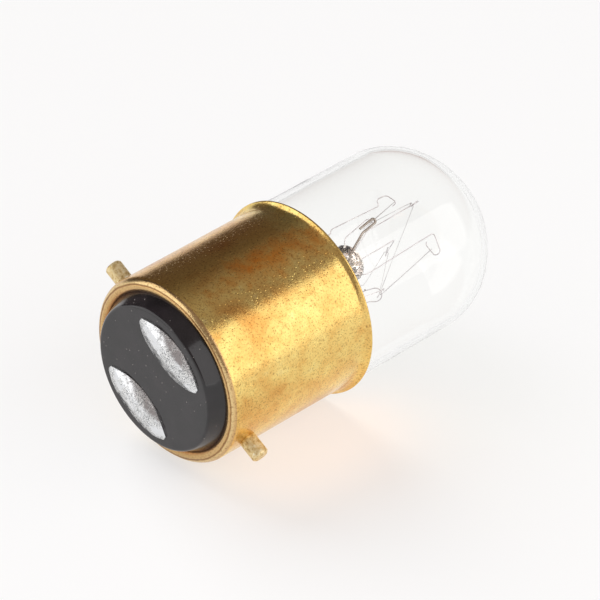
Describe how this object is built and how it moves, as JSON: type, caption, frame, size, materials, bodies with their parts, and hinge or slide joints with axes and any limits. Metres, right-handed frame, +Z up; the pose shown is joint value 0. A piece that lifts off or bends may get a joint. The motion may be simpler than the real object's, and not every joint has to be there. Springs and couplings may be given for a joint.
{
  "type": "oven lamp",
  "caption": "Small tubular oven lamp: brass bayonet cap with side pins, black glass insulator with soldered contacts, clear domed glass over a wire filament mount.",
  "frame": {"origin": "centre of the footprint on the surface that the lamp lies on", "axes": "+X from the cap's contacts towards the dome of the glass, level; +Z up; +Y completes them. The lamp's own axis rises about 2 degrees towards the dome, because the rim is wider than the lip."},
  "size_m": [0.0476, 0.0236, 0.0233],
  "materials": {
    "cap_brass": "bright, tarnished",
    "pin_brass": "dull",
    "black_glass": "glossy, opaque black",
    "plate_brass": "dull",
    "solder": "grainy, half gloss",
    "cement": "matte",
    "clear_glass": "clear",
    "stem_glass": "clear",
    "lead_copper": "tinned copper",
    "fuse_metal": "satin",
    "seal_alloy": "copper sheath",
    "lead_nickel": "dull nickel",
    "support_molybdenum": "satin",
    "tungsten": "dull"
  },
  "bodies": {
    "root": {"cap_shell": "cap_brass", "bayonet_pin_1": "pin_brass", "bayonet_pin_2": "pin_brass", "insulator": "black_glass", "contact_plate_1": "plate_brass", "contact_plate_2": "plate_brass", "contact_solder_1": "solder", "contact_solder_2": "solder", "cap_cement": "cement", "glass_envelope": "clear_glass", "stem_flare": "stem_glass", "exhaust_tube": "stem_glass", "support_rod": "stem_glass", "outer_lead_plain": "lead_copper", "outer_lead_fused_upper": "lead_copper", "outer_lead_fused_lower": "lead_copper", "fuse_wire": "fuse_metal", "fuse_sleeve": "stem_glass", "seal_wire_1": "seal_alloy", "seal_wire_2": "seal_alloy", "inner_lead_1": "lead_nickel", "inner_lead_2": "lead_nickel", "support_wire_1": "support_molybdenum", "support_wire_2": "support_molybdenum", "support_wire_3": "support_molybdenum", "support_wire_4": "support_molybdenum", "support_wire_5": "support_molybdenum", "support_wire_6": "support_molybdenum", "support_wire_7": "support_molybdenum", "filament": "tungsten"}
  },
  "joints": []
}
